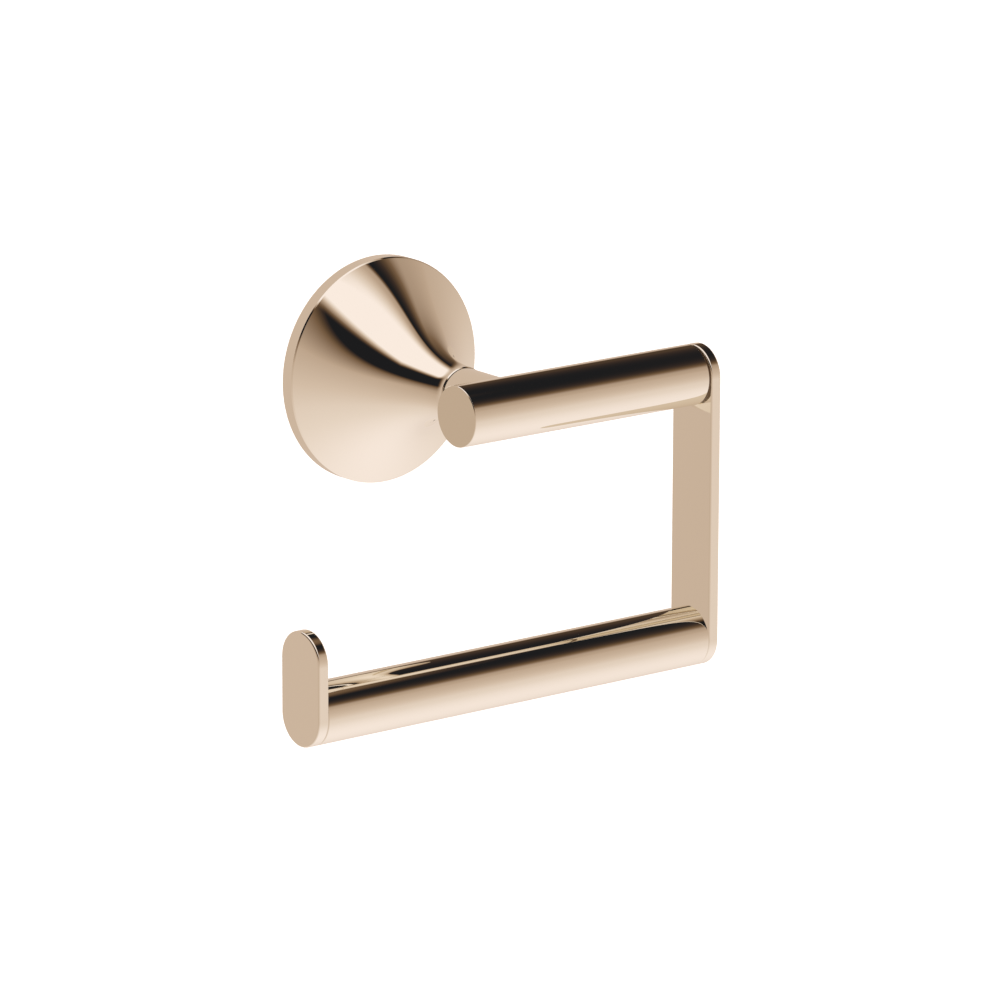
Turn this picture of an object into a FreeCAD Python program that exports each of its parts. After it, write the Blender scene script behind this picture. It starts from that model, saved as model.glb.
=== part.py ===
import FreeCAD, Part
import math
import os

# Toilet paper holder: a trumpet flange on the wall, a short upper bar on a stub arm, a flat
# strap down the right side, and a long lower bar with an upright end stop.
# Frame: origin at the centre of the flange's back face, wall plane Y = 0, the holder stands out
# along -Y, +X to the right as seen from the room, +Z up. A "depth" is a distance from the wall.

# ---- driving sizes, mm ----
flange_radius = 30.0
rim_thickness = 4.0
rim_bevel = 0.3
rim_wall = 3.5              # the skirt that the set screw is tapped into
neck_radius = 7.15
neck_depth = 37.7
neck_lip = 0.25
neck_end_wall = 5.7         # solid metal between the core and the neck's end
neck_handle = 18.2          # how far the bell's neck runs on nearly straight
rim_handle = 12.1           # how far the bell's rim slope runs on
rim_angle = 62.0            # slope of the bell at its rim, from the flange's axis
bell_wall = 1.8

plate_thickness = 4.0
plate_lip = 0.6             # the straight part of the wall plate's edge, at its front
slot_width = 5.0
slot_length = 8.5
slot_margin = 4.75          # from a slot's end to the plate's edge

post_radius = 5.0
post_tip = 0.6
post_screw_radius = 2.0
post_screw_head_radius = 4.0
post_screw_length = 14.0
post_screw_tip = 0.4
post_key_flats = 2.5
post_key_depth = 1.2

core_back_gap = 2.0         # from the wall plate to the core
core_radius = 9.0
core_nose_radius = 6.5
core_chamfer = 0.5
arm_thread_length = 8.0

grub_radius = 1.5
grub_tip_radius = 0.5
grub_recess = 0.9           # from the rim down to the set screw's outer end
grub_key_flats = 1.5
grub_key_depth = 1.5

bar_radius = 8.0
bar_wall = 1.5
bar_axis_depth = 56.0
bar_chamfer = 0.15
end_step_depth = 0.25       # the upper bar is turned down this much at the strap
end_step_width = 0.9
upper_bar_left = -16.4
bar_right = 61.1
bar_drop = 70.4             # from the upper bar's axis to the lower bar's

stub_step = 0.25            # how much slimmer the stub is than the neck
stub_spigot_radius = 5.6
groove_width = 0.35         # the dark line between the neck and the stub
stub_nose_radius = 5.0
arm_stud_radius = 3.0
saddle_reach = 11.0         # how far the cross plug runs past the arm, to the right
saddle_flat = 4.5           # from the bar's axis to the flat that the stub seats on
arm_pin_radius = 0.75
arm_pin_offset = 4.4
arm_pin_half = 3.0

strap_thickness = 3.1
stop_thickness = 3.1
plate_round = 0.5
stop_rise = 14.2            # between the centres of the end stop's two round ends
stop_inner_face = -62.7

cap_thickness = 1.6
cap_spigot = 4.0
insert_length = 12.0
stud_radius = 2.5
stud_in_insert = 9.0
stud_in_plate = 2.2
pin_radius = 1.0
pin_in_insert = 4.0
pin_in_plate = 1.8

# ---- named clearances, mm ----
slide_fit = 0.05            # radial, a plug in a tube or a post in its socket
thread_fit = 0.03           # radial, a plain stud standing for a thread in its tapped hole
stud_clearance = 0.25       # radial, a stud through a plain hole
hole_end = 0.5              # a blind hole runs this much past its stud or pin
plate_hole_end = 0.3        # the same in the thin strap and end stop
socket_end_gap = 1.0        # from the post's tip to the bottom of its socket
plate_gap = 1.5             # radial, round the wall plate inside the flange's skirt
core_gap = 0.7              # radial, between the core's shoulder and the bell
saddle_gap = 0.05           # between the coped stub and the round of the bar

V = FreeCAD.Vector
wall_normal = V(0, 1, 0)

# ---- plain shapes used by the pieces ----


def rod_x(radius, start, end, height):
    """A cylinder along X from start to end, at the bars' depth and at a height."""
    return Part.makeCylinder(radius, end - start, V(start, -bar_axis_depth, height), V(1, 0, 0))


def rod_out(radius, near, far, x=0.0, z=0.0):
    """A cylinder straight out from the wall, from depth near to depth far."""
    return Part.makeCylinder(radius, far - near, V(x, -near, z), V(0, -1, 0))


def rod_up(radius, bottom, top, depth):
    """A vertical cylinder on the flange's centre line at a depth."""
    return Part.makeCylinder(radius, top - bottom, V(0, -depth, bottom), V(0, 0, 1))


def turned(points):
    """A solid turned about the flange's axis from (depth, radius) corners."""
    corners = [V(radius, -depth, 0) for depth, radius in points]
    outline = Part.makePolygon(corners + [corners[0]])
    return Part.Face(outline).revolve(V(0, 0, 0), wall_normal, 360)


def hex_prism(flats, start, direction, length):
    """A hexagonal key socket of a width across flats, from a point along a direction."""
    corner = flats / math.sqrt(3.0)
    square_on = direction.cross(V(1, 0, 0))
    turn = FreeCAD.Rotation(direction, 60.0)
    ring = [square_on.normalize() * corner]
    for _ in range(5):
        ring.append(turn.multVec(ring[-1]))
    outline = Part.makePolygon([start + p for p in ring + [ring[0]]])
    return Part.Face(outline).extrude(direction * length)


def chamfer_bar_end(bar, x):
    """Chamfer the round outer edge of a bar's end in the plane at x."""
    rings = [e for e in bar.Edges if isinstance(e.Curve, Part.Circle)]
    outer = [e for e in rings if abs(e.Curve.Center.x - x) < 1e-6]
    return bar.makeChamfer(bar_chamfer, outer)


def round_ended_plate(x, thickness, top, bottom):
    """An upright plate, as wide as a bar, whose round ends are centred at top and bottom."""
    near = -bar_axis_depth + bar_radius
    far = -bar_axis_depth - bar_radius
    up = V(x, near, top)
    over = V(x, -bar_axis_depth, top + bar_radius)
    down = V(x, far, top)
    foot = V(x, far, bottom)
    under = V(x, -bar_axis_depth, bottom - bar_radius)
    heel = V(x, near, bottom)
    outline = Part.Wire([
        Part.Arc(up, over, down).toShape(),
        Part.LineSegment(down, foot).toShape(),
        Part.Arc(foot, under, heel).toShape(),
        Part.LineSegment(heel, up).toShape(),
    ])
    plate = Part.Face(outline).extrude(V(thickness, 0, 0))
    return plate.makeFillet(plate_round, plate.Edges)


def joint_parts(face_x, into_bar, height, pin_side):
    """The stud, the pin and their holes where a bar meets a plate at face_x.

    into_bar is the X direction from the plate into the bar. pin_side is +1 for a pin above the
    bar's axis and -1 for one below.
    """
    def span(in_bar, in_plate):
        return sorted((face_x + into_bar * in_bar, face_x - into_bar * in_plate))

    pin_height = height + pin_side * pin_offset
    stud = rod_x(stud_radius, *span(stud_in_insert, stud_in_plate), height)
    pin = rod_x(pin_radius, *span(pin_in_insert, pin_in_plate), pin_height)
    bar_span = span(stud_in_insert + hole_end, 0.0)
    plate_span = span(0.0, stud_in_plate + plate_hole_end)
    pin_bar_span = span(pin_in_insert + hole_end, 0.0)
    pin_plate_span = span(0.0, pin_in_plate + plate_hole_end)
    stud_hole = stud_radius + thread_fit
    pin_hole = pin_radius + thread_fit
    bar_holes = rod_x(stud_hole, *bar_span, height).fuse(
        rod_x(pin_hole, *pin_bar_span, pin_height))
    plate_holes = rod_x(stud_hole, *plate_span, height).fuse(
        rod_x(pin_hole, *pin_plate_span, pin_height))
    return stud, pin, bar_holes, plate_holes


# ---- places worked out from the sizes ----
plug_radius = bar_radius - bar_wall - slide_fit
pin_offset = (stud_radius + plug_radius) / 2
stub_radius = neck_radius - stub_step
stub_start = neck_depth + groove_width
saddle_seat = bar_axis_depth - saddle_flat
stop_outer_face = stop_inner_face - stop_thickness
stop_top = stop_rise - bar_drop

plate_radius = flange_radius - rim_wall - plate_gap
plate_lip_depth = plate_thickness - plate_lip
slot_centre = plate_radius - slot_margin - slot_length / 2
core_back = plate_thickness + core_back_gap
core_front = neck_depth - neck_end_wall
socket_end = core_front - arm_thread_length
post_end = socket_end - socket_end_gap
grub_depth = (rim_thickness - rim_bevel) / 2

# The set screw's 45 degree cone lies along the wall plate's 45 degree edge, a fit away.
grub_tip = (plate_radius - plate_lip_depth + grub_depth + grub_tip_radius
            + slide_fit * math.sqrt(2.0))

# ---- the wall bracket ----


def make_wall_plate():
    """A steel disc, undercut round its edge, with two slots and a countersunk centre hole."""
    plate = turned([(0.0, 0.0), (0.0, plate_radius - plate_lip_depth),
                    (plate_lip_depth, plate_radius), (plate_thickness, plate_radius),
                    (plate_thickness, 0.0)])
    half_run = (slot_length - slot_width) / 2
    for side in (-1, 1):
        centre = side * slot_centre
        slot = Part.makeBox(2 * half_run, plate_thickness, slot_width,
                            V(centre - half_run, -plate_thickness, -slot_width / 2))
        slot = slot.fuse([rod_out(slot_width / 2, 0.0, plate_thickness, centre - half_run),
                          rod_out(slot_width / 2, 0.0, plate_thickness, centre + half_run)])
        plate = plate.cut(slot.removeSplitter())
    head = post_screw_head_radius + slide_fit
    shank = post_screw_radius + slide_fit
    hole = turned([(0.0, 0.0), (0.0, head), (head - shank, shank), (plate_thickness, shank),
                   (plate_thickness, 0.0)])
    return plate.cut(hole)


def make_post_screw():
    """A countersunk screw from behind the wall plate into the post, with a hex socket."""
    head = post_screw_head_radius
    shank = post_screw_radius
    sunk = slide_fit
    screw = turned([(sunk, 0.0), (sunk, head), (sunk + head - shank, shank),
                    (post_screw_length - post_screw_tip, shank),
                    (post_screw_length, shank - post_screw_tip), (post_screw_length, 0.0)])
    key = hex_prism(post_key_flats, V(0, -sunk, 0), V(0, -1, 0), post_key_depth)
    return screw.cut(key)


def make_bracket_post():
    """The turned post that carries the holder, tapped from behind for its screw."""
    tip = post_radius - post_tip
    hole = post_screw_radius + thread_fit
    hole_depth = post_screw_length + hole_end
    return turned([
        (plate_thickness, hole), (plate_thickness, post_radius),
        (post_end - post_tip, post_radius), (post_end, tip), (post_end, 0.0),
        (hole_depth, 0.0), (hole_depth, hole)])


# ---- the flange ----


def bell_poles(inset):
    """The four poles of the bell's curve, moved inwards by inset.

    The curve leaves the neck parallel to the axis and reaches the rim at rim_angle. Each leg of
    the pole polygon moves by the same distance, which keeps the wall even.
    """
    slope = math.radians(rim_angle)
    neck = (neck_depth - neck_lip, neck_radius)
    neck_reach = (neck[0] - neck_handle, neck_radius)
    rim = (rim_thickness, flange_radius - rim_bevel)
    rim_reach = (rim[0] + rim_handle * math.cos(slope), rim[1] - rim_handle * math.sin(slope))
    poles = [neck, neck_reach, rim_reach, rim]
    turns = [math.atan2(b[1] - a[1], a[0] - b[0]) for a, b in zip(poles, poles[1:])]
    turns = [turns[0]] + turns + [turns[-1]]
    moved = []
    for pole, before, after in zip(poles, turns, turns[1:]):
        middle = (before + after) / 2
        reach = inset / math.cos((after - before) / 2)
        depth = pole[0] - reach * math.sin(middle)
        radius = pole[1] - reach * math.cos(middle)
        moved.append(V(radius, -depth, 0))
    return moved


def bell_depth_at(poles, radius):
    """The depth at which the bell's curve reaches a radius, by halving the curve's parameter."""
    curve = Part.BezierCurve()
    curve.setPoles(poles)
    low, high = 0.0, 1.0
    for _ in range(50):
        middle = (low + high) / 2
        if curve.value(middle).x < radius:
            low = middle
        else:
            high = middle
    return -curve.value(middle).y


def turned_under_curve(poles, rim_corners, neck_corners):
    """A solid turned from the axis out to rim_corners, along the bell's curve and back in."""
    curve = Part.BezierCurve()
    curve.setPoles(poles)
    out = [V(0, 0, 0)] + rim_corners + [poles[-1]]
    back = [poles[0]] + neck_corners + [V(0, 0, 0)]
    edges = [Part.LineSegment(a, b).toShape() for a, b in zip(out, out[1:])]
    edges.append(curve.toShape())
    edges += [Part.LineSegment(a, b).toShape() for a, b in zip(back, back[1:])]
    outline = Part.Wire(Part.sortEdges(edges)[0])
    return Part.Face(outline).revolve(V(0, 0, 0), wall_normal, 360)


def make_flange_bell():
    """The trumpet: an even shell from the rim that closes round the core and into the neck."""
    outer = turned_under_curve(
        bell_poles(0.0),
        [V(flange_radius, 0, 0), V(flange_radius, rim_bevel - rim_thickness, 0)],
        [V(neck_radius - neck_lip, -neck_depth, 0), V(0, -neck_depth, 0)])
    inner_poles = bell_poles(bell_wall)
    cavity = turned_under_curve(
        inner_poles, [V(inner_poles[-1].x, 0, 0)], [V(0, inner_poles[0].y, 0)])
    cavity = cavity.common(rod_out(flange_radius - rim_wall, 0.0, core_front))
    bell = outer.cut(cavity)
    bell = bell.cut(rod_out(core_nose_radius + slide_fit, 0.0, core_front))
    bell = bell.cut(rod_out(arm_stud_radius + stud_clearance, 0.0, neck_depth))
    bell = bell.cut(rod_up(grub_radius + thread_fit, -flange_radius, 0.0, grub_depth))
    pin_hole = rod_out(arm_pin_radius + thread_fit, neck_depth - arm_pin_half - hole_end,
                       neck_depth, 0.0, arm_pin_offset)
    return bell.cut(pin_hole)


def make_flange_core():
    """The turned core: a socket for the post behind, and a thread for the arm stud in front."""
    edge = core_chamfer
    step = bell_depth_at(bell_poles(bell_wall), core_radius + core_gap)
    core = turned([
        (core_back, 0.0), (core_back, core_radius - edge), (core_back + edge, core_radius),
        (step - edge, core_radius), (step, core_radius - edge), (step, core_nose_radius),
        (core_front, core_nose_radius), (core_front, 0.0)])
    core = core.cut(rod_out(post_radius + slide_fit, core_back, socket_end))
    return core.cut(rod_out(arm_stud_radius + thread_fit, socket_end, core_front))


def make_grub_screw():
    """The set screw in the rim: a cone point under the plate's edge, a hex socket below."""
    top = -grub_tip
    bottom = grub_recess - flange_radius
    cone = grub_radius - grub_tip_radius
    screw = Part.makeCylinder(grub_radius, top - cone - bottom, V(0, -grub_depth, bottom))
    point = Part.makeCone(grub_radius, grub_tip_radius, cone, V(0, -grub_depth, top - cone))
    screw = screw.fuse(point).removeSplitter()
    key = hex_prism(grub_key_flats, V(0, -grub_depth, bottom), V(0, 0, 1), grub_key_depth)
    return screw.cut(key)


# ---- the arm ----


def make_arm_stub():
    """The round arm: a thin spigot on the neck, a coped end on the bar and a nose into it."""
    stub = rod_out(stub_spigot_radius, neck_depth, stub_start)
    stub = stub.fuse(rod_out(stub_radius, stub_start, bar_axis_depth))
    coped = rod_x(bar_radius + saddle_gap, -2 * stub_radius, 2 * stub_radius, 0.0)
    stub = stub.cut(coped)
    stub = stub.fuse(rod_out(stub_nose_radius, neck_depth, saddle_seat)).removeSplitter()
    stub = stub.cut(rod_out(arm_stud_radius + stud_clearance, neck_depth, saddle_seat))
    pin_hole = rod_out(arm_pin_radius + thread_fit, neck_depth,
                       neck_depth + arm_pin_half + hole_end, 0.0, arm_pin_offset)
    return stub.cut(pin_hole)


def make_arm_stud():
    """The stud from the core's thread through the neck and the stub into the saddle."""
    plug_front = math.sqrt(plug_radius ** 2 - arm_stud_radius ** 2)
    return rod_out(arm_stud_radius, socket_end + hole_end, bar_axis_depth + plug_front - hole_end)


def make_arm_pin():
    """A pin across the joint between the neck and the stub."""
    return rod_out(arm_pin_radius, neck_depth - arm_pin_half, neck_depth + arm_pin_half, 0.0,
                   arm_pin_offset)


# ---- the bars ----


def make_bar(left, right, height, chamfered_ends):
    """A tube along X with a small chamfer round the outer edge of each chamfered end."""
    tube = rod_x(bar_radius, left, right, height)
    for end in chamfered_ends:
        tube = chamfer_bar_end(tube, end)
    bore = rod_x(bar_radius - bar_wall, left, right, height)
    return tube.cut(bore)


def make_upper_bar():
    """The short tube, turned down at the strap, with a hole in its back for the stub's nose."""
    tube = make_bar(upper_bar_left + cap_thickness, bar_right, 0.0, [])
    step_start = bar_right - end_step_width
    waste = rod_x(bar_radius + end_step_depth, step_start, bar_right, 0.0)
    waste = waste.cut(rod_x(bar_radius - end_step_depth, step_start, bar_right, 0.0))
    tube = tube.cut(waste)
    return tube.cut(rod_out(stub_nose_radius + slide_fit, neck_depth, bar_axis_depth))


def make_upper_bar_cap():
    """The flat end cap, with a spigot inside the tube."""
    end = rod_x(bar_radius, upper_bar_left, upper_bar_left + cap_thickness, 0.0)
    end = chamfer_bar_end(end, upper_bar_left)
    spigot_end = upper_bar_left + cap_thickness + cap_spigot
    spigot = rod_x(plug_radius, upper_bar_left + cap_thickness, spigot_end, 0.0)
    return end.fuse(spigot).removeSplitter()


def make_upper_bar_saddle():
    """The cross plug inside the upper bar, flat where the stub's nose seats, and tapped."""
    left = upper_bar_left + cap_thickness + cap_spigot + hole_end
    plug = rod_x(plug_radius, left, saddle_reach, 0.0)
    flat = Part.makeBox(saddle_reach - left, bar_radius, 2 * bar_radius,
                        V(left, -saddle_seat, -bar_radius))
    plug = plug.cut(flat)
    return plug.cut(rod_out(arm_stud_radius + thread_fit, saddle_seat,
                            bar_axis_depth + bar_radius))


def make_insert(face_x, into_bar, height, holes):
    """A tapped plug in the end of a bar, flush with the bar's face."""
    start, end = sorted((face_x, face_x + into_bar * insert_length))
    plug = rod_x(plug_radius, start, end, height)
    return plug.cut(holes)


# ---- put together and write one file for each piece ----


def build():
    """Every piece by its name, in the order in which the holder is put together."""
    up_stud, up_pin, up_bar_holes, up_plate_holes = joint_parts(bar_right, -1, 0.0, -1)
    low_stud, low_pin, low_bar_holes, low_plate_holes = joint_parts(
        bar_right, -1, -bar_drop, 1)
    end_stud, end_pin, end_bar_holes, end_plate_holes = joint_parts(
        stop_inner_face, 1, -bar_drop, 1)
    strap = round_ended_plate(bar_right, strap_thickness, 0.0, -bar_drop)
    stop = round_ended_plate(stop_outer_face, stop_thickness, stop_top, -bar_drop)
    return {
        "wall_plate": make_wall_plate(),
        "post_screw": make_post_screw(),
        "bracket_post": make_bracket_post(),
        "flange_core": make_flange_core(),
        "flange_bell": make_flange_bell(),
        "grub_screw": make_grub_screw(),
        "arm_pin": make_arm_pin(),
        "arm_stub": make_arm_stub(),
        "arm_stud": make_arm_stud(),
        "upper_bar_saddle": make_upper_bar_saddle(),
        "upper_bar": make_upper_bar(),
        "upper_bar_cap": make_upper_bar_cap(),
        "upper_bar_insert": make_insert(bar_right, -1, 0.0, up_bar_holes),
        "upper_strap_stud": up_stud,
        "upper_strap_pin": up_pin,
        "strap_plate": strap.cut(up_plate_holes).cut(low_plate_holes),
        "lower_strap_stud": low_stud,
        "lower_strap_pin": low_pin,
        "lower_bar_strap_insert": make_insert(bar_right, -1, -bar_drop, low_bar_holes),
        "lower_bar": make_bar(stop_inner_face, bar_right, -bar_drop,
                              [stop_inner_face, bar_right]),
        "lower_bar_stop_insert": make_insert(stop_inner_face, 1, -bar_drop, end_bar_holes),
        "stop_stud": end_stud,
        "stop_pin": end_pin,
        "stop_plate": stop.cut(end_plate_holes),
    }


os.makedirs("parts", exist_ok=True)
for node, shape in build().items():
    solids = shape.Solids
    if len(solids) != 1 or not shape.isValid():
        raise ValueError(node + " is not one valid solid")
    solids[0].exportStep("parts/" + node + ".step")
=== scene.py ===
import math

import bpy
import numpy as np
from mathutils import Matrix, Vector


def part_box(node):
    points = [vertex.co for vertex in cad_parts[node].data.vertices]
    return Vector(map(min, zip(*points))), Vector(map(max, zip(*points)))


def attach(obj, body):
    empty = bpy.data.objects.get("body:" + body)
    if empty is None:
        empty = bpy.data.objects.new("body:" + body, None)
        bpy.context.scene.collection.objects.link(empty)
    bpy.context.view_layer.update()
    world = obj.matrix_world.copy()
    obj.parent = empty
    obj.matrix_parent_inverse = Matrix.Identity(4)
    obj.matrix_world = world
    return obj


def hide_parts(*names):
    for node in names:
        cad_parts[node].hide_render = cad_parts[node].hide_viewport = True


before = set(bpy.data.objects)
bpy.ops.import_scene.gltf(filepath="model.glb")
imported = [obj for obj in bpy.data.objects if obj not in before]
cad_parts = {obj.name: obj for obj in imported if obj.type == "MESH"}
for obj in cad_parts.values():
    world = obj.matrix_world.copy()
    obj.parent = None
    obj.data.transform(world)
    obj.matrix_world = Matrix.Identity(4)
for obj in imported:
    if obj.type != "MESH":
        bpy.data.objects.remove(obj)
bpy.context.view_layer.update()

# ---------------------------------------------------------------- the studio
# The holder hangs in an empty studio, high above a plain pale floor. A long soft ceiling light
# runs from the wall out over the room, the ceiling beside it is dark, and the air grows lighter
# towards the floor. A long lens looks down on the holder from the front left.


class Wire:
    """One output in a node tree; arithmetic on it adds the Math node that does the sum."""

    def __init__(self, tree, socket):
        self.tree = tree
        self.socket = socket

    def math(self, operation, first, second=0.0, third=0.0):
        return self.tree.node("ShaderNodeMath", {"operation": operation},
                              {0: first, 1: second, 2: third}, 0)

    def __add__(self, other):
        return self.math("ADD", self, other)

    def __sub__(self, other):
        return self.math("SUBTRACT", self, other)

    def __rsub__(self, other):
        return self.math("SUBTRACT", other, self)

    def __mul__(self, other):
        return self.math("MULTIPLY", self, other)

    def __truediv__(self, other):
        return self.math("DIVIDE", self, other)

    def __neg__(self):
        return self.math("MULTIPLY", self, -1.0)

    __radd__ = __add__
    __rmul__ = __mul__

    def at_least(self, floor):
        return self.math("MAXIMUM", self, floor)

    def at_most(self, ceiling):
        return self.math("MINIMUM", self, ceiling)

    def sine(self):
        return self.math("SINE", self)

    def rises(self, start, end):
        """0 before start, 1 after end, and smooth between them."""
        return self.tree.node(
            "ShaderNodeMapRange", {"interpolation_type": "SMOOTHSTEP"},
            {"Value": self, "From Min": start, "From Max": end}, "Result")


class Tree:
    """A node tree being wired up for a material or for the world."""

    def __init__(self, owner):
        owner.use_nodes = True
        self.tree = owner.node_tree
        self.tree.nodes.clear()

    def node(self, kind, settings, values, output):
        """Adds a node: first its settings, or a ramp's stops, then each input's value or link."""
        node = self.tree.nodes.new(kind)
        for name, value in settings.items():
            if name == "stops":
                ramp = node.color_ramp.elements
                for place, colour in value[2:]:
                    ramp.new(place)
                for stop, (place, colour) in zip(ramp, value):
                    stop.position = place
                for stop, (place, colour) in zip(ramp, value):
                    stop.color = (*colour, 1.0)
            else:
                setattr(node, name, value)
        for name, value in values.items():
            if isinstance(value, Wire):
                self.tree.links.new(value.socket, node.inputs[name])
            else:
                node.inputs[name].default_value = value
        return None if output is None else Wire(self, node.outputs[output])

    def where(self):
        """The point in the object's own coordinates, in metres."""
        return self.node("ShaderNodeTexCoord", {}, {}, "Object")

    def split(self, vector):
        """The X, Y and Z of a vector."""
        node = self.tree.nodes.new("ShaderNodeSeparateXYZ")
        self.tree.links.new(vector.socket, node.inputs[0])
        return [Wire(self, output) for output in node.outputs]

    def noise(self, vector, scale, detail=2.0):
        return self.node("ShaderNodeTexNoise", {},
                         {"Vector": vector, "Scale": scale, "Detail": detail}, "Fac")

    def blend(self, factor, first, second):
        """A colour that goes from first to second."""
        return self.node("ShaderNodeMix", {"data_type": "RGBA"},
                         {0: factor, 6: first, 7: second}, 2)


def linear(red, green, blue):
    """The linear colour of 0 to 255 screen values: ((v/255 + 0.055) / 1.055) to the 2.4."""
    return tuple(((v / 255 + 0.055) / 1.055) ** 2.4 for v in (red, green, blue))


rose_tint = (0.88, 0.84, 0.74)      # how much of each colour the polished finish gives back


def seen_in_metal(red, green, blue):
    """The light that shows as this screen colour in the polished finish."""
    return tuple(v / tint for v, tint in zip(linear(red, green, blue), rose_tint))


view_turn = math.radians(38.001)
view_rise = math.radians(14.383)
view_roll = math.radians(0.193)
view_distance = 1.7545
view_target = Vector((0.02281, -0.02387, -0.03441))
backwards = Vector((-math.sin(view_turn) * math.cos(view_rise),
                    -math.cos(view_turn) * math.cos(view_rise), math.sin(view_rise)))
level_right = Vector((0, 0, 1)).cross(backwards).normalized()
level_up = backwards.cross(level_right)
right = level_right * math.cos(view_roll) + level_up * math.sin(view_roll)
up = level_up * math.cos(view_roll) - level_right * math.sin(view_roll)
lens = bpy.data.cameras.new("camera")
lens.lens = 241.3
lens.sensor_width = 36.0
lens.clip_end = 100.0
camera = bpy.data.objects.new("camera", lens)
placed = Matrix((right, up, backwards)).transposed().to_4x4()
placed.translation = view_target + backwards * view_distance
camera.matrix_world = placed
bpy.context.scene.collection.objects.link(camera)
bpy.context.scene.camera = camera
bpy.context.scene.view_settings.view_transform = "Standard"

studio = bpy.data.worlds.new("studio")
bpy.context.scene.world = studio
air = Tree(studio)
look_x, look_y, look_z = air.split(air.node("ShaderNodeTexCoord", {}, {}, "Generated"))


def shades(low, high, stops):
    """Ramp stops from (place, grey) pairs, with the places scaled from low..high to 0..1."""
    return [((place - low) / (high - low), (grey, grey, grey)) for place, grey in stops]


# How bright the air is, from black to lit: on the left it darkens quickly above the horizon. On
# the right it darkens higher up, sooner in front and by the wall than straight to the side.
black, wall_level, lit = 0.11, 0.715, 0.95
below = look_z.at_most(0.0)
left_height = look_z + look_y * 0.1 + (look_x * 0.6 - look_y * 0.2) * below
left_air = air.node("ShaderNodeValToRGB", {"stops": shades(-1.3, 0.4, [
    (-1.3, 0.93), (-0.5, 0.81), (0.0, 0.66), (0.25, 0.38), (0.35, black),
])}, {"Fac": (left_height + 1.3) / 1.7}, "Color")
right_height = look_z + look_x - 0.6 + look_y * (look_y + 0.25)
right_air = air.node("ShaderNodeValToRGB", {"stops": shades(-1.5, 1.2, [
    (-1.5, 0.93), (0.1, 0.82), (0.65, 0.67), (0.9, 0.38), (1.15, black),
])}, {"Fac": (right_height + 1.5) / 2.7}, "Color")
to_left = (-look_x).rises(-0.25, -0.1).at_least((-look_z).rises(0.1, 0.6))
bright = right_air + (left_air - right_air) * to_left

# The ceiling light and the dark strip on its right, by where a look meets a ceiling one unit up:
# across it and out over the room. Looks toward the wall all meet one even tan.
lift = look_z.at_least(0.05)
across = look_x / lift
outward = look_y / lift
ceiling = look_z.rises(0.1, 0.25)
light_left = (-outward).at_least(0.0).at_most(2.25) * 0.4 + outward.at_least(0.0) * 0.15 - 1.2
light_right = 0.75 - outward * 0.05
beyond = across - light_right
shadow = beyond.rises(-0.1, 0.0) * (1.0 - beyond.rises(0.0, 0.65)) * ceiling
bright = bright + (black - bright) * shadow
softbox = ((across - light_left).rises(0.0, 0.5) * (-beyond).rises(0.0, 0.6)
           * (1.2 - outward).rises(-0.15, 0.15) * ceiling)
bright = bright + (lit - bright) * softbox
bright = bright + (wall_level - bright) * look_y.rises(0.7, 0.77)
glow = air.node("ShaderNodeValToRGB", {"stops": [
    (black, seen_in_metal(28, 28, 29)), (0.18, seen_in_metal(57, 44, 36)),
    (0.27, seen_in_metal(88, 67, 47)), (0.38, seen_in_metal(118, 92, 67)),
    (0.65, seen_in_metal(187, 162, 137)), (0.75, seen_in_metal(211, 189, 166)),
    (0.84, seen_in_metal(229, 211, 192)), (0.93, seen_in_metal(250, 235, 222)),
]}, {"Fac": bright}, "Color")
to_camera = air.node("ShaderNodeLightPath", {}, {}, "Is Camera Ray")
seen = air.blend(to_camera, glow, (1.0, 1.0, 1.0, 1.0))
air.node("ShaderNodeOutputWorld", {},
         {"Surface": air.node("ShaderNodeBackground", {}, {"Color": seen}, 0)}, None)

floor_drop = 2.0
floor_half = 12.0
floor_mesh = bpy.data.meshes.new("floor")
floor_mesh.from_pydata(
    [(x * floor_half, y * floor_half, -floor_drop) for x, y in ((-1, -1), (1, -1), (1, 1), (-1, 1))],
    [], [(0, 1, 2, 3)])
floor = bpy.data.objects.new("floor", floor_mesh)
bpy.context.scene.collection.objects.link(floor)
floor.visible_glossy = False
pale = bpy.data.materials.new("pale_floor")
paint = Tree(pale)
mottle = paint.noise(paint.where(), 1.5)
shade = paint.blend(mottle, (0.90, 0.90, 0.89, 1.0), (0.93, 0.93, 0.92, 1.0))
paint.node("ShaderNodeOutputMaterial", {}, {"Surface": paint.node(
    "ShaderNodeBsdfPrincipled", {},
    {"Base Color": shade, "Roughness": 0.9, "Emission Color": (1.0, 1.0, 1.0, 1.0),
     "Emission Strength": 0.8}, 0)}, None)
floor_mesh.materials.append(pale)

# ---------------------------------------------------------------- the wall bracket
# A zinc-plated steel disc is screwed to the wall through its two slots. A turned steel post is
# held on its front by a countersunk stainless screw that is driven in from behind.


def dress(node, finish):
    """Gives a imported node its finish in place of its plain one."""
    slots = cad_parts[node].data.materials
    if len(slots) == 0:
        slots.append(finish)
    for i in range(len(slots)):
        slots[i] = finish


def metal(name, tree, colour, roughness, normal=None):
    """Closes a metal's tree: colour and roughness may vary, the rest is constant."""
    values = {"Base Color": colour, "Metallic": 1.0, "Roughness": roughness}
    if normal is not None:
        values["Normal"] = normal
    surface = tree.node("ShaderNodeBsdfPrincipled", {}, values, 0)
    tree.node("ShaderNodeOutputMaterial", {}, {"Surface": surface}, None)


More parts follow.
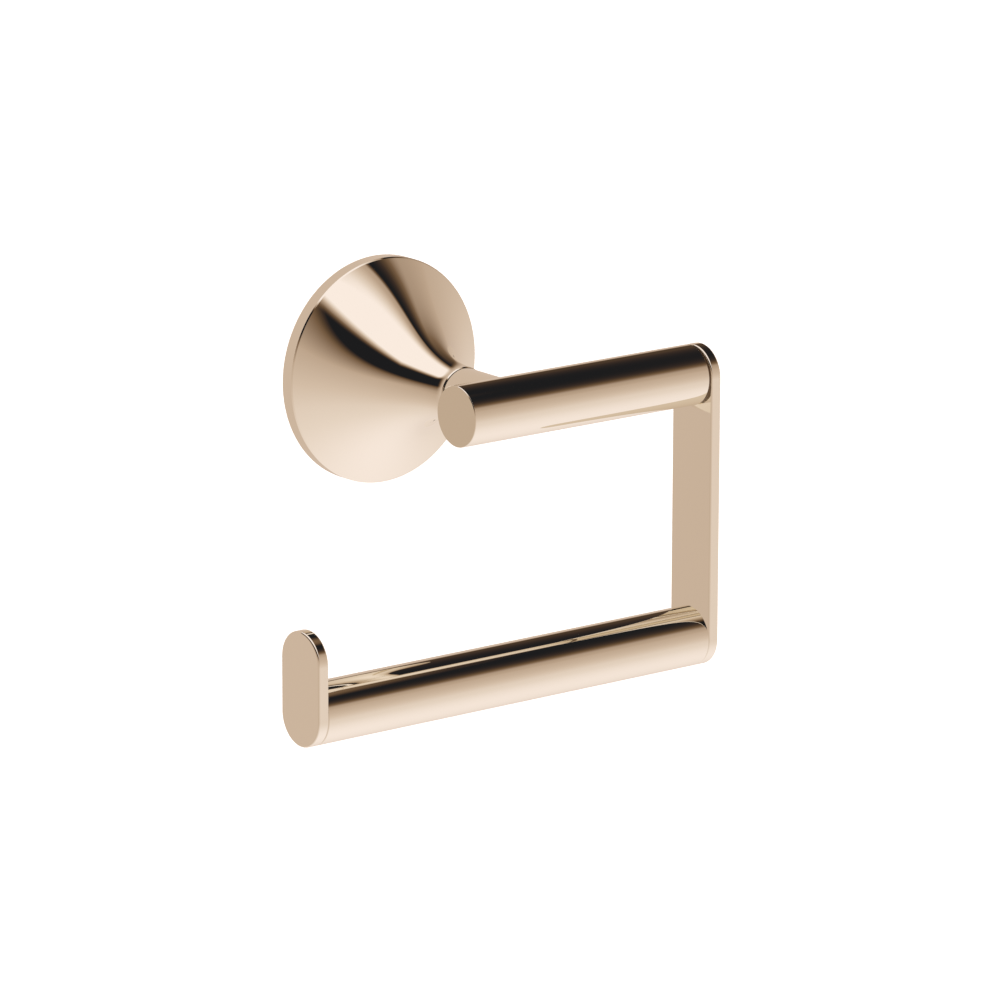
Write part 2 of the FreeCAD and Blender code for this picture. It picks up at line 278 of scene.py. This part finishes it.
zinc = bpy.data.materials.new("zinc_plated_steel")
plating = Tree(zinc)
spot = plating.where()
bloom = plating.noise(spot, 260.0, 4.0)
grit = plating.noise(spot, 2600.0)
zinc_colour = plating.blend(bloom.rises(0.35, 0.65), (0.50, 0.52, 0.54, 1.0), (0.66, 0.67, 0.67, 1.0))
zinc_relief = plating.node("ShaderNodeBump", {}, {
    "Strength": 0.25, "Distance": 0.00004, "Height": grit}, "Normal")
metal("zinc_plated_steel", plating, zinc_colour, 0.30 + bloom * 0.22, zinc_relief)
dress("wall_plate", zinc)
dress("bracket_post", zinc)

stainless = bpy.data.materials.new("stainless_steel")
turning = Tree(stainless)
spot = turning.where()
haze = turning.noise(spot, 500.0)
stainless_colour = turning.blend(haze, (0.56, 0.55, 0.53, 1.0), (0.66, 0.65, 0.63, 1.0))
metal("stainless_steel", turning, stainless_colour, 0.2 + haze * 0.16)
dress("post_screw", stainless)

# ---------------------------------------------------------------- the flange's core
# A turned brass core sits inside the bell, with a socket for the post behind it and a tapped
# hole for the arm's stud in front. It is left raw, so the lathe's fine rings show on it.

raw_brass = bpy.data.materials.new("raw_brass")
lathe = Tree(raw_brass)
spot = lathe.where()
spot_y = lathe.split(spot)[1]
ring_pitch = 0.00025
ring_wander = lathe.noise(spot, 300.0) * 2.0
rings = (spot_y * (2 * math.pi / ring_pitch) + ring_wander).sine() * 0.5 + 0.5
tarnish = lathe.noise(spot, 140.0, 5.0)
brass_colour = lathe.blend(tarnish.rises(0.35, 0.7), (0.80, 0.58, 0.27, 1.0), (0.62, 0.42, 0.20, 1.0))
brass_relief = lathe.node("ShaderNodeBump", {}, {
    "Strength": 0.3, "Distance": 0.00003, "Height": rings}, "Normal")
metal("raw_brass", lathe, brass_colour, 0.26 + tarnish * 0.2, brass_relief)
dress("flange_core", raw_brass)

# ---------------------------------------------------------------- the flange's bell
# The trumpet-shaped flange is spun and turned from brass, bevelled at its rim and at its neck,
# then polished to a mirror and coated in a warm rose bronze. The set screw's hole is in its rim.

mm = 0.001


def rounded(corners, closed=False):
    """A profile through (along, out, radius) corners, with its outward normals.

    Each corner is an arc of its own radius that touches the runs on both sides: its centre is
    the corner moved along the bisector by radius / sin(half the angle between the runs), and a
    point on it is the centre plus or minus radius times the normal. The normal is the left of
    the way along the profile, so metal lies on the right. An open profile keeps its two ends.
    """
    corners = np.array(corners, float)
    place, radius = corners[:, :2], corners[:, 2]
    if not closed:
        inner = slice(1, -1)
        before, here, after = place[:-2], place[1:-1], place[2:]
        radius = radius[inner]
    else:
        before, here, after = np.roll(place, 1, 0), place, np.roll(place, -1, 0)

    def unit(v):
        return v / np.linalg.norm(v, axis=-1, keepdims=True)

    arrive, leave = unit(here - before), unit(after - here)
    normal_in = np.stack([-arrive[:, 1], arrive[:, 0]], 1)
    normal_out = np.stack([-leave[:, 1], leave[:, 0]], 1)
    turn_left = arrive[:, 0] * leave[:, 1] - arrive[:, 1] * leave[:, 0]
    swing = np.arctan2(turn_left, (arrive * leave).sum(1))
    bulge = -np.sign(turn_left)
    bisector = unit(leave - arrive)
    centre = here + bisector * (radius / np.cos(swing / 2))[:, None]
    angle = (np.arctan2(normal_in[:, 1], normal_in[:, 0])[:, None]
             + swing[:, None] * np.linspace(0, 1, 7))
    normals = np.stack([np.cos(angle), np.sin(angle)], -1)
    points = centre[:, None] + (radius * bulge)[:, None, None] * normals
    points, normals = points.reshape(-1, 2), normals.reshape(-1, 2)
    if closed:
        return np.vstack([points, points[:1]]), np.vstack([normals, normals[:1]])
    return (np.vstack([place[:1], points, place[-1:]]),
            np.vstack([normal_in[:1], normals, normal_out[-1:]]))


def carry(profile, foot, out, along):
    """Carries a profile round a path: foot + along * profile's along + out * profile's out."""
    points, normals = profile
    return (foot + points[:, 0, None, None] * along + points[:, 1, None, None] * out,
            normals[:, 0, None, None] * along + normals[:, 1, None, None] * out)


def skin(name, finish, node, body, patches):
    """One closed surface from patches, each a grid of points with a grid of outward normals.

    Neighbours in a grid make a four-sided face. Points nearer than a tenth of a micron are one,
    a face that loses a side there becomes a triangle, and a face whose own normal, the cross of
    its diagonals, disagrees with the given ones is turned over.
    """
    points = np.vstack([p.reshape(-1, 3) for p, n in patches])
    normals = np.vstack([n.reshape(-1, 3) for p, n in patches])
    faces, start = [], 0
    for p, n in patches:
        rows, columns = p.shape[:2]
        index = start + np.arange(rows * columns).reshape(rows, columns)
        faces.append(np.stack([index[:-1, :-1], index[1:, :-1], index[1:, 1:], index[:-1, 1:]],
                              -1).reshape(-1, 4))
        start += rows * columns
    faces = np.vstack(faces)
    cells = np.floor(points * 1e7 + 0.3137).astype(np.int64)
    first, shared = np.unique(cells, axis=0, return_index=True, return_inverse=True)[1:]
    shared = shared.reshape(-1)
    own = np.cross(points[faces[:, 2]] - points[faces[:, 0]],
                   points[faces[:, 3]] - points[faces[:, 1]])
    wrong = (own * normals[faces].mean(1)).sum(1) < 0
    faces[wrong] = faces[wrong, ::-1]
    joined = shared[faces]
    lost = joined == np.roll(joined, -1, 1)
    whole = faces[lost.sum(1) == 0]
    cut = faces[lost.sum(1) == 1][~lost[lost.sum(1) == 1]].reshape(-1, 3)
    mesh = bpy.data.meshes.new(name)
    mesh.from_pydata(points[first].tolist(), [], shared[whole].tolist() + shared[cut].tolist())
    mesh.polygons.foreach_set("use_smooth", np.ones(len(mesh.polygons), bool))
    mesh.normals_split_custom_set(
        np.vstack([normals[whole].reshape(-1, 3), normals[cut].reshape(-1, 3)]).tolist())
    mesh.materials.append(finish)
    piece = bpy.data.objects.new(name, mesh)
    bpy.context.scene.collection.objects.link(piece)
    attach(piece, body)
    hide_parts(node)
    return piece


def drilled_band(radius, along, turn, window, hole_at, hole_radius):
    """A band of a cylinder with a round hole, as (along, turn) grids, and the hole's own edge.

    The hole's centre is at turn 0. Outside the window of turns the band is a plain grid. Inside,
    rays run from the window's edge in to the hole, whose edge is radius * sin(turn) across and
    the distance along of a circle.
    """
    inside = turn[: window + 1]
    strip = np.stack(np.meshgrid(along, turn[window:], indexing="ij"), -1)
    ends = np.ones(len(inside) - 1)
    sides = np.ones(len(along) - 1)
    edge = np.concatenate([
        np.stack([along[0] * ends, inside[:-1]], 1), np.stack([along[:-1], inside[-1] * sides], 1),
        np.stack([along[-1] * ends, inside[:0:-1]], 1), np.stack([along[:0:-1], inside[0] * sides], 1)])
    edge = np.vstack([edge, edge[:1]])
    bearing = np.arctan2(edge[:, 0] - hole_at, radius * np.sin(edge[:, 1]))
    ring = np.stack([hole_at + hole_radius * np.sin(bearing),
                     np.arcsin(hole_radius * np.cos(bearing) / radius)], 1)
    share = np.linspace(0, 1, 5)[:, None, None]
    return strip, ring * (1 - share) + edge * share, bearing


def on_cylinder(grid, radius, centre, along, zero, side, facing):
    """Lays (along, turn) grids on a cylinder: centre + along * a + radius * (zero cos + side sin)."""
    out = np.cos(grid[..., 1:]) * zero + np.sin(grid[..., 1:]) * side
    return centre + grid[..., :1] * along + radius * out, facing * out


hair = 0.02 * mm                # how sharply one finish gives way to another


def polished(name, axis=0, start=1.0, end=2.0, painted_shade_colour=(0.153, 0.104, 0.065), band_roughness=0.3):
    """The mirror finish. From start to end along an axis, a band is painted in a darker colour, as
    painted shade, and given its own roughness.

    The axis is 0, 1 or 2 for X, Y or Z. Left out, the band lies beyond the piece.
    """
    finish = bpy.data.materials.new(name)
    buffed = Tree(finish)
    spot = buffed.where()
    place = buffed.split(spot)[axis]
    drift = buffed.noise(spot, 14.0, 3.0)
    smear = buffed.noise(spot, 60.0, 5.0)
    # Inside this band the colour is painted shade and the band's roughness is added.
    painted_shade_band = place.rises(start, start + hair) * (1.0 - place.rises(end - hair, end))
    colour = buffed.blend(drift, tuple(v * 0.985 for v in rose_tint) + (1.0,),
                          tuple(v * 1.015 for v in rose_tint) + (1.0,))
    colour = buffed.blend(painted_shade_band, colour, painted_shade_colour + (1.0,))
    metal(name, buffed, colour,
          0.02 + smear.rises(0.35, 0.75) * 0.015 + painted_shade_band * band_roughness)
    return finish


polish = polished("polished_bronze")

into_room = np.array([0.0, -1.0, 0.0])
upward = np.array([0.0, 0.0, 1.0])
rightward = np.array([1.0, 0.0, 0.0])

bell_low, bell_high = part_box("flange_bell")
rim_radius = bell_high.x
neck_end = -bell_low.y
rim_side = 3.7 * mm             # from the wall to the rim's bevel
rim_bevel = 0.3 * mm
neck_radius = 7.15 * mm
neck_lip = 0.25 * mm
neck_pull = 18.2 * mm           # how far the neck runs on nearly straight
rim_pull = 12.1 * mm            # how far the slope at the rim runs on
rim_slope = math.radians(62.0)
bell_wall = 1.8 * mm
skirt_inside = 26.5 * mm
socket_radius = 6.55 * mm
socket_end = 32.0 * mm
stud_hole = 3.25 * mm
fine_edge = 0.04 * mm
set_screw_hole = 1.53 * mm
set_screw_depth = -(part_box("grub_screw")[0].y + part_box("grub_screw")[1].y) / 2

# The bell's curve is a cubic through its four poles: the sum of each pole times its weight,
# (1-t)^3, 3t(1-t)^2, 3t^2(1-t) and t^3. Its wall is the same curve moved in along the normal.
t = np.linspace(0, 1, 97)[:, None]
rim_pole = np.array([rim_side + rim_bevel, rim_radius - rim_bevel])
neck_pole = np.array([neck_end - neck_lip, neck_radius])
poles = [rim_pole, rim_pole + rim_pull * np.array([math.cos(rim_slope), -math.sin(rim_slope)]),
         neck_pole - np.array([neck_pull, 0.0]), neck_pole]
curve = ((1 - t) ** 3 * poles[0] + 3 * t * (1 - t) ** 2 * poles[1]
         + 3 * t ** 2 * (1 - t) * poles[2] + t ** 3 * poles[3])
slope = ((1 - t) ** 2 * (poles[1] - poles[0]) + 2 * t * (1 - t) * (poles[2] - poles[1])
         + t ** 2 * (poles[3] - poles[2]))
slope /= np.linalg.norm(slope, axis=1, keepdims=True)
curve_normal = np.stack([-slope[:, 1], slope[:, 0]], 1)
inner_curve = curve - bell_wall * curve_normal
inner_t = np.interp(np.linspace(skirt_inside, socket_radius, 49), inner_curve[::-1, 1], t[::-1, 0])
inner = np.stack([np.interp(inner_t, t[:, 0], inner_curve[:, k]) for k in (0, 1)], 1)
inner_normal = -np.stack([np.interp(inner_t, t[:, 0], curve_normal[:, k]) for k in (0, 1)], 1)

skirt_front = inner[0, 0]
window = 12
opening = math.radians(8.0)
turn = np.concatenate([np.linspace(-opening, opening, window + 1),
                       np.linspace(opening, 2 * math.pi - opening, 241)[1:]])
around = np.cos(turn)[:, None] * -upward + np.sin(turn)[:, None] * rightward
bevel = rounded([(rim_side - 0.2 * mm, rim_radius, 0), (rim_side, rim_radius, fine_edge),
                 (*rim_pole, 0)])
neck = rounded([(*neck_pole, 0), (neck_end, neck_radius - neck_lip, fine_edge),
                (neck_end, stud_hole, 0), (socket_end, stud_hole, 0),
                (socket_end, socket_radius, 0), (inner[-1, 0], socket_radius, 0)])
back = rounded([(0.3 * mm, skirt_inside, 0), (0, skirt_inside, fine_edge),
                (0, rim_radius, 0.08 * mm), (0.3 * mm, rim_radius, 0)])
wall_side = np.zeros(3)
patches = [carry(p, wall_side, around, into_room) for p in (
    bevel, (curve, curve_normal), neck, (inner[::-1], inner_normal[::-1]), back)]
for radius, start, end, facing in ((rim_radius, 0.3 * mm, rim_side - 0.2 * mm, 1.0),
                                   (skirt_inside, 0.3 * mm, skirt_front, -1.0)):
    strip, rays, bearing = drilled_band(radius, np.linspace(start, end, 9), turn, window,
                                        set_screw_depth, set_screw_hole)
    for grid in (strip, rays):
        patches.append(on_cylinder(grid, radius, wall_side, into_room, -upward, rightward, facing))
    if facing > 0:
        outer_edge, hole_bearing = patches[-1][0][0], bearing
bore_normal = -(np.cos(hole_bearing)[:, None] * rightward + np.sin(hole_bearing)[:, None] * into_room)
inner_edge = set_screw_depth * into_room - set_screw_hole * bore_normal
inner_edge[:, 2] = -np.sqrt(skirt_inside ** 2 - inner_edge[:, 0] ** 2)
patches.append((np.stack([outer_edge, inner_edge]), np.stack([bore_normal, bore_normal])))
skin("bell", polish, "flange_bell", "holder", patches)

# ---------------------------------------------------------------- the set screw
# A stainless set screw with a hexagonal socket is turned up through the rim from below, and its
# cone point bears under the wall plate's edge and pulls the flange to the wall.

dress("grub_screw", stainless)

# ---------------------------------------------------------------- the arm
# A short round brass arm, turned with a thin shoulder against the neck and coped to the bar.
# A stud through its middle draws it up tight and a small pin keeps it from turning.

dress("arm_stud", stainless)
dress("arm_pin", stainless)

bar_low, bar_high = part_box("upper_bar")
bar_radius = (bar_high.z - bar_low.z) / 2
bar_depth = -(bar_low.y + bar_high.y) / 2
stub_low, stub_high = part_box("arm_stub")
stub_radius = stub_high.x
stub_start = -stub_high.y
stub_end = -stub_low.y
stub_shoulder = 0.35 * mm
spigot_radius = 5.6 * mm
nose_radius = 5.0 * mm
coping_gap = 0.05 * mm

# Each ring of the arm has a radius and a depth. On the coped rings the depth is where the round
# of the bar begins: the bar's axis less the square root of its radius squared less z squared.
turns = np.linspace(0, 2 * math.pi, 129)
circle = np.cos(turns)[:, None] * rightward + np.sin(turns)[:, None] * upward
stub_side = rounded([(stub_start, stud_hole, 0), (stub_start, spigot_radius, fine_edge),
                     (stub_start + stub_shoulder, spigot_radius, 0),
                     (stub_start + stub_shoulder, stub_radius, fine_edge),
                     (stub_start + 2 * stub_shoulder, stub_radius, 0)])
stub_nose = rounded([(bar_depth - bar_radius, nose_radius, 0), (stub_end, nose_radius, 0.2 * mm),
                     (stub_end, stud_hole, 0), (stub_start, stud_hole, 0)])


def coped(radius):
    """Where a ring of the arm meets the round of the bar: depth = axis - sqrt(R^2 - z^2)."""
    ring = radius * circle
    depth = bar_depth - np.sqrt((bar_radius + coping_gap) ** 2 - ring[:, 2] ** 2)
    return ring + depth[:, None] * into_room


coped_rings = np.stack([coped(r) for r in np.linspace(stub_radius, nose_radius, 5)])
toward_bar = coped_rings * (0, 1, 1) - bar_depth * into_room
toward_bar = -toward_bar / np.linalg.norm(toward_bar, axis=-1, keepdims=True)
stub_ring = stub_radius * circle + (stub_start + 2 * stub_shoulder) * into_room
nose_side, nose_normal = carry(stub_nose, np.zeros(3), circle, into_room)
nose_side[0] = coped_rings[-1]
# The thin shoulder against the neck is painted dark brown: painted shade for the groove between arm and
# neck.
arm_polish = polished("arm_bronze", 1, -stub_start - stub_shoulder, -stub_start)
skin("arm", arm_polish, "arm_stub", "holder", [
    carry(stub_side, np.zeros(3), circle, into_room),
    (np.stack([stub_ring, coped_rings[0]]), np.stack([circle, circle])),
    (coped_rings, toward_bar), (nose_side, nose_normal)])

# ---------------------------------------------------------------- the upper bar
# A short brass tube in the same finish, with a flat cap on its left end. A raw brass cross plug
# inside takes the arm's stud, and another plug closes its right end against the strap.

dress("upper_bar_saddle", raw_brass)
dress("upper_bar_insert", raw_brass)

bore_radius = 6.5 * mm
bar_chamfer = 0.15 * mm
end_step = 0.25 * mm            # turned down at the strap
end_step_width = 0.9 * mm
nose_hole = 5.05 * mm
drilled_half = 8.0 * mm
upper_axis = np.array([0.0, -bar_depth, (bar_low.z + bar_high.z) / 2])
bar_window = 32
bar_opening = math.radians(64.0)
bar_turn = np.concatenate([np.linspace(-bar_opening, bar_opening, bar_window + 1),
                           np.linspace(bar_opening, 2 * math.pi - bar_opening, 97)[1:]])
bar_around = np.cos(bar_turn)[:, None] * -into_room + np.sin(bar_turn)[:, None] * upward
left_part = rounded([(-drilled_half, bore_radius, 0), (bar_low.x, bore_radius, 0),
                     (bar_low.x, bar_radius, 0), (-drilled_half, bar_radius, 0)])
right_part = rounded([(drilled_half, bar_radius, 0),
                      (bar_high.x - end_step_width, bar_radius, fine_edge),
                      (bar_high.x - end_step_width, bar_radius - end_step, fine_edge),
                      (bar_high.x, bar_radius - end_step, fine_edge),
                      (bar_high.x, bore_radius, fine_edge), (drilled_half, bore_radius, 0)])
patches = [carry(p, upper_axis, bar_around, rightward) for p in (left_part, right_part)]
for radius, facing in ((bar_radius, 1.0), (bore_radius, -1.0)):
    strip, rays, bearing = drilled_band(
        radius, np.linspace(-drilled_half, drilled_half, 17), bar_turn, bar_window, 0.0, nose_hole)
    for grid in (strip, rays):
        patches.append(on_cylinder(grid, radius, upper_axis, rightward, -into_room, upward, facing))
    if facing > 0:
        outer_edge, hole_bearing = patches[-1][0][0], bearing
bore_normal = -(np.cos(hole_bearing)[:, None] * upward + np.sin(hole_bearing)[:, None] * rightward)
inner_edge = upper_axis - nose_hole * bore_normal
inner_edge[:, 1] += np.sqrt(bore_radius ** 2 - (inner_edge[:, 2] - upper_axis[2]) ** 2)
patches.append((np.stack([outer_edge, inner_edge]), np.stack([bore_normal, bore_normal])))
# The turned-down step at the strap is painted dark brown: painted shade for the gap between bar and
# strap.
upper_polish = polished("upper_bar_bronze", 0, bar_high.x - end_step_width, bar_high.x)
skin("upper_tube", upper_polish, "upper_bar", "holder", patches)

cap_low, cap_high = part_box("upper_bar_cap")
plug_radius = 6.45 * mm
# The cap's flat end face is tinted darker and more olive than the rest of the finish: painted shade on
# its reflection.
shaded_face_colour = (0.765, 0.71, 0.59)
cap_bronze = polished("cap_bronze", 0, cap_low.x - bar_chamfer, cap_low.x + hair, shaded_face_colour, 0.02)
cap = rounded([(cap_high.x, 0, 0), (cap_high.x, plug_radius, 0.2 * mm), (bar_low.x, plug_radius, 0),
               (bar_low.x, bar_radius, 0), (cap_low.x + bar_chamfer, bar_radius, fine_edge),
               (cap_low.x, bar_radius - bar_chamfer, fine_edge), (cap_low.x, 0, 0)][::-1])
skin("upper_cap", cap_bronze, "upper_bar_cap", "holder",
     [carry(cap, upper_axis, bar_around, rightward)])

# ---------------------------------------------------------------- the strap
# A flat brass strap, as wide as the bars are thick, with full round ends and its edges broken by
# hand. A stud and a pin at each end, both stainless, fasten it to the bars and stop it turning.

for node in ("upper_strap_stud", "upper_strap_pin", "lower_strap_stud", "lower_strap_pin"):
    dress(node, stainless)

plate_edge = 0.5 * mm


def plate(name, node):
    """A round-ended plate between two arc centres, its thickness along X.

    The profile runs from the spine of one face, over the rounded edge, to the spine of the other.
    It is carried round the outline: half a turn about the top centre, straight down, half a turn
    about the bottom centre and straight up again.
    """
    low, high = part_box(node)
    half = (high.y - low.y) / 2
    top, bottom = high.z - half, low.z + half
    arc, run = np.linspace(0, math.pi, 49), np.linspace(0, 1, 13)
    lean = np.concatenate([arc, np.full(12, math.pi), arc[1:] + math.pi, np.full(12, 2 * math.pi)])
    level = np.concatenate([np.full(49, top), top + (bottom - top) * run[1:],
                            np.full(48, bottom), bottom + (top - bottom) * run[1:]])
    spine = np.stack([0 * level, 0 * level + (low.y + high.y) / 2, level], 1)
    out = np.cos(lean)[:, None] * -into_room + np.sin(lean)[:, None] * upward
    profile = rounded([(low.x, 0, 0), (low.x, half, plate_edge), (high.x, half, plate_edge),
                       (high.x, 0, 0)])
    return skin(name, polish, node, "holder",
                [carry(profile, spine, out, rightward)])


plate("strap", "strap_plate")

# ---------------------------------------------------------------- the lower bar
# The long tube that carries the roll, in the same finish. Each end is chamfered and closed by a
# raw brass plug, tapped for the stud that holds the strap or the end stop.

dress("lower_bar_strap_insert", raw_brass)
dress("lower_bar_stop_insert", raw_brass)

low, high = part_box("lower_bar")
lower_axis = np.array([0.0, -bar_depth, (low.z + high.z) / 2])
tube = rounded([(low.x, bore_radius, fine_edge), (low.x, bar_radius - bar_chamfer, fine_edge),
                (low.x + bar_chamfer, bar_radius, fine_edge),
                (high.x - bar_chamfer, bar_radius, fine_edge),
                (high.x, bar_radius - bar_chamfer, fine_edge), (high.x, bore_radius, fine_edge)],
               closed=True)
lower_tube = skin("lower_tube", polish, "lower_bar", "holder",
                  [carry(tube, lower_axis, bar_around, rightward)])

# The bar and what is in it are kept out of reflections, so the flange stays plain.
lower_tube.visible_glossy = False
for node in ("lower_bar_strap_insert", "lower_bar_stop_insert", "lower_strap_stud",
             "lower_strap_pin"):
    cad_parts[node].visible_glossy = False

# ---------------------------------------------------------------- the end stop
# A short upright plate like the strap, whose round top stands above the bar and keeps the roll
# on. A stud and a pin fasten it to the bar's left end.

dress("stop_stud", stainless)
dress("stop_pin", stainless)
end_stop = plate("end_stop", "stop_plate")

# Like the bar, the stop is kept out of reflections.
end_stop.visible_glossy = False
for node in ("stop_stud", "stop_pin"):
    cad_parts[node].visible_glossy = False
